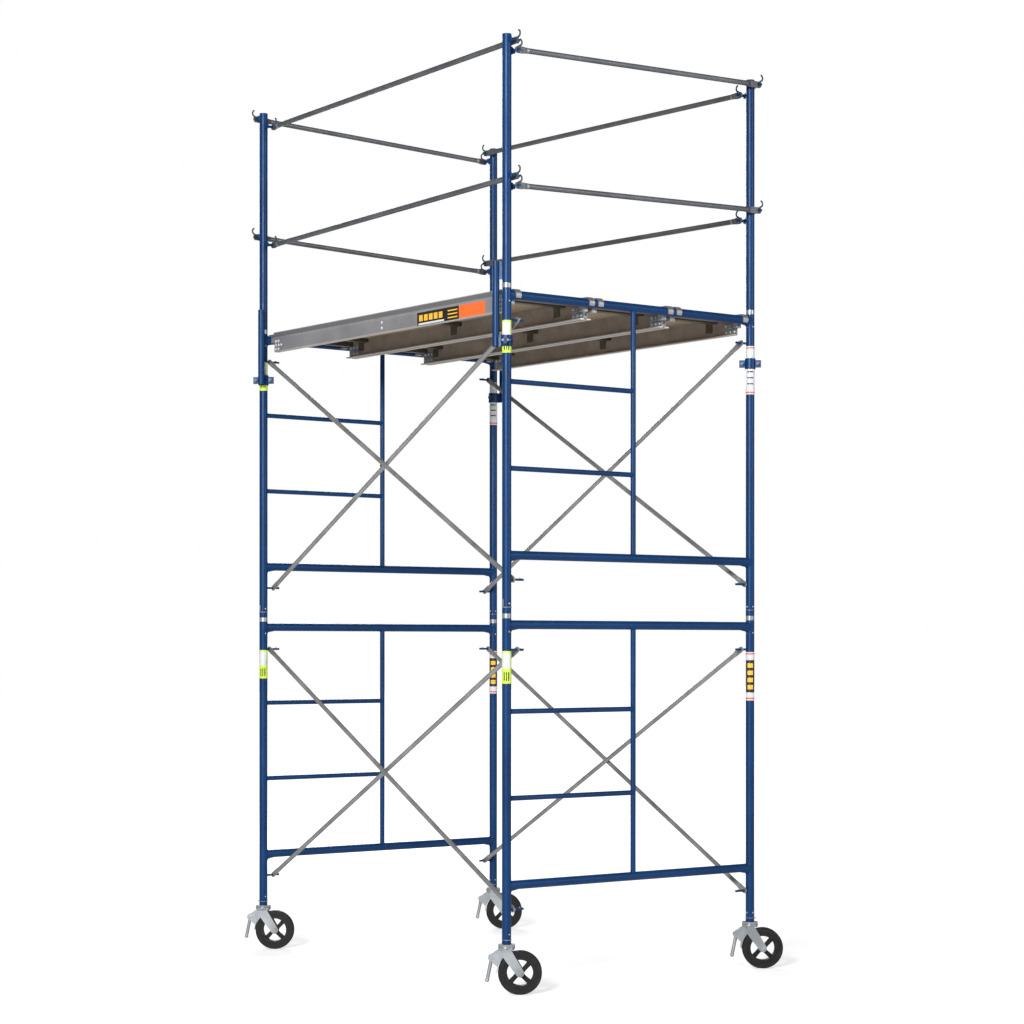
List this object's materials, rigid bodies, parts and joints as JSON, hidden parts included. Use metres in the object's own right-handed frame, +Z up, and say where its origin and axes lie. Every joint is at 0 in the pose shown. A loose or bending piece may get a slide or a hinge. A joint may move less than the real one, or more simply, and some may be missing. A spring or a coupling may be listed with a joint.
{
  "type": "baker scaffold",
  "caption": "Rolling scaffold tower of stacked welded steel frames and crossed braces, with hook-on plank decks, a two-rail guard and braked swivel casters.",
  "frame": {"origin": "on the floor, at the middle of the box that holds the tower with its casters trailing as stored", "axes": "+X across the end frames, +Y along the bay from the near frame to the far frame, +Z up"},
  "size_m": [1.746, 2.3158, 4.4523],
  "materials": {
    "blue_paint": "gloss",
    "galvanised": "satin",
    "rail_steel": "satin",
    "dark_steel": "satin",
    "zinc": "satin",
    "wheel_black": "satin",
    "tyre_rubber": "matte",
    "platform_aluminium": "satin",
    "plywood": "matte"
  },
  "bodies": {
    "tower": {"frame_lower_near": "blue_paint", "frame_lower_far": "blue_paint", "frame_upper_near": "blue_paint", "frame_upper_far": "blue_paint", "brace_lower_left_rising": "galvanised", "brace_lower_left_falling": "galvanised", "brace_lower_right_rising": "galvanised", "brace_lower_right_falling": "galvanised", "brace_upper_left_rising": "galvanised", "brace_upper_left_falling": "galvanised", "brace_upper_right_rising": "galvanised", "brace_upper_right_falling": "galvanised", "coupling_pins": "zinc", "spring_clips": "zinc", "post_clamps": "blue_paint", "clamp_bolts": "zinc", "caster_stems": "zinc", "guard_rail_mid_near": "rail_steel", "guard_rail_mid_right": "rail_steel", "guard_rail_mid_far": "rail_steel", "guard_rail_mid_left": "rail_steel", "guard_rail_top_near": "rail_steel", "guard_rail_top_right": "rail_steel", "guard_rail_top_far": "rail_steel", "guard_rail_top_left": "rail_steel", "guard_post_near_left": "blue_paint", "guard_post_near_right": "blue_paint", "guard_post_far_left": "blue_paint", "guard_post_far_right": "blue_paint"},
    "lock_tabs": {"brace_lock_tabs": "zinc"},
    "hooks_near_left": {"guard_hooks_near_left": "dark_steel"},
    "hooks_near_right": {"guard_hooks_near_right": "dark_steel"},
    "hooks_far_left": {"guard_hooks_far_left": "dark_steel"},
    "hooks_far_right": {"guard_hooks_far_right": "dark_steel"},
    "fork_near_left": {"caster_fork_near_left": "zinc"},
    "wheel_near_left": {"wheel_near_left": "wheel_black", "tyre_near_left": "tyre_rubber"},
    "lever_near_left": {"brake_lever_near_left": "zinc"},
    "fork_near_right": {"caster_fork_near_right": "zinc"},
    "wheel_near_right": {"wheel_near_right": "wheel_black", "tyre_near_right": "tyre_rubber"},
    "lever_near_right": {"brake_lever_near_right": "zinc"},
    "fork_far_left": {"caster_fork_far_left": "zinc"},
    "wheel_far_left": {"wheel_far_left": "wheel_black", "tyre_far_left": "tyre_rubber"},
    "lever_far_left": {"brake_lever_far_left": "zinc"},
    "fork_far_right": {"caster_fork_far_right": "zinc"},
    "wheel_far_right": {"wheel_far_right": "wheel_black", "tyre_far_right": "tyre_rubber"},
    "lever_far_right": {"brake_lever_far_right": "zinc"},
    "platform_left": {"platform_frame_left": "platform_aluminium", "platform_deck_left": "plywood"},
    "latch_left": {"wind_latch_left": "zinc"},
    "platform_middle": {"platform_frame_middle": "platform_aluminium", "platform_deck_middle": "plywood"},
    "latch_middle": {"wind_latch_middle": "zinc"},
    "platform_right": {"platform_frame_right": "platform_aluminium", "platform_deck_right": "plywood"},
    "latch_right": {"wind_latch_right": "zinc"}
  },
  "joints": [
    {"name": "lock_tabs_press", "type": "slide", "parent": "tower", "child": "lock_tabs", "axis": [0, 0, -1], "range_m": [0, 0.0025], "stiffness_N_per_m": 400},
    {"name": "hooks_near_left_lift", "type": "slide", "parent": "tower", "child": "hooks_near_left", "axis": [0, 0, 1], "range_m": [0, 0.022]},
    {"name": "hooks_near_right_lift", "type": "slide", "parent": "tower", "child": "hooks_near_right", "axis": [0, 0, 1], "range_m": [0, 0.022]},
    {"name": "hooks_far_left_lift", "type": "slide", "parent": "tower", "child": "hooks_far_left", "axis": [0, 0, 1], "range_m": [0, 0.022]},
    {"name": "hooks_far_right_lift", "type": "slide", "parent": "tower", "child": "hooks_far_right", "axis": [0, 0, 1], "range_m": [0, 0.022]},
    {"name": "caster_swivel_near_left", "type": "hinge", "parent": "tower", "child": "fork_near_left", "pos_m": [-0.79225, -1.04199, 0.215], "axis": [0, 0, 1], "continuous": true},
    {"name": "wheel_spin_near_left", "type": "hinge", "parent": "fork_near_left", "child": "wheel_near_left", "pos_m": [-0.74311, -1.07978, 0.1016], "axis": [0.6096, 0.7927, 0], "continuous": true},
    {"name": "brake_lever_turn_near_left", "type": "hinge", "parent": "fork_near_left", "child": "lever_near_left", "pos_m": [-0.84616, -1.00054, 0.17], "axis": [0.6096, 0.7927, 0], "range_deg": [0, 75]},
    {"name": "caster_swivel_near_right", "type": "hinge", "parent": "tower", "child": "fork_near_right", "pos_m": [0.73175, -1.04199, 0.215], "axis": [0, 0, 1], "continuous": true},
    {"name": "wheel_spin_near_right", "type": "hinge", "parent": "fork_near_right", "child": "wheel_near_right", "pos_m": [0.7809, -1.07978, 0.1016], "axis": [0.6096, 0.7927, 0], "continuous": true},
    {"name": "brake_lever_turn_near_right", "type": "hinge", "parent": "fork_near_right", "child": "lever_near_right", "pos_m": [0.67784, -1.00054, 0.17], "axis": [0.6096, 0.7927, 0], "range_deg": [0, 75]},
    {"name": "caster_swivel_far_left", "type": "hinge", "parent": "tower", "child": "fork_far_left", "pos_m": [-0.79225, 1.09201, 0.215], "axis": [0, 0, 1], "continuous": true},
    {"name": "wheel_spin_far_left", "type": "hinge", "parent": "fork_far_left", "child": "wheel_far_left", "pos_m": [-0.74311, 1.05422, 0.1016], "axis": [0.6096, 0.7927, 0], "continuous": true},
    {"name": "brake_lever_turn_far_left", "type": "hinge", "parent": "fork_far_left", "child": "lever_far_left", "pos_m": [-0.84616, 1.13346, 0.17], "axis": [0.6096, 0.7927, 0], "range_deg": [0, 75]},
    {"name": "caster_swivel_far_right", "type": "hinge", "parent": "tower", "child": "fork_far_right", "pos_m": [0.73175, 1.09201, 0.215], "axis": [0, 0, 1], "continuous": true},
    {"name": "wheel_spin_far_right", "type": "hinge", "parent": "fork_far_right", "child": "wheel_far_right", "pos_m": [0.7809, 1.05422, 0.1016], "axis": [0.6096, 0.7927, 0], "continuous": true},
    {"name": "brake_lever_turn_far_right", "type": "hinge", "parent": "fork_far_right", "child": "lever_far_right", "pos_m": [0.67784, 1.13346, 0.17], "axis": [0.6096, 0.7927, 0], "range_deg": [0, 75]},
    {"name": "platform_lift_left", "type": "slide", "parent": "tower", "child": "platform_left", "axis": [0, 0, 1], "range_m": [0, 0.12]},
    {"name": "wind_latch_slide_left", "type": "slide", "parent": "platform_left", "child": "latch_left", "axis": [0, -1, 0], "range_m": [0, 0.035]},
    {"name": "platform_lift_middle", "type": "slide", "parent": "tower", "child": "platform_middle", "axis": [0, 0, 1], "range_m": [0, 0.12]},
    {"name": "wind_latch_slide_middle", "type": "slide", "parent": "platform_middle", "child": "latch_middle", "axis": [0, -1, 0], "range_m": [0, 0.035]},
    {"name": "platform_lift_right", "type": "slide", "parent": "tower", "child": "platform_right", "axis": [0, 0, 1], "range_m": [0, 0.12]},
    {"name": "wind_latch_slide_right", "type": "slide", "parent": "platform_right", "child": "latch_right", "axis": [0, -1, 0], "range_m": [0, 0.035]}
  ]
}
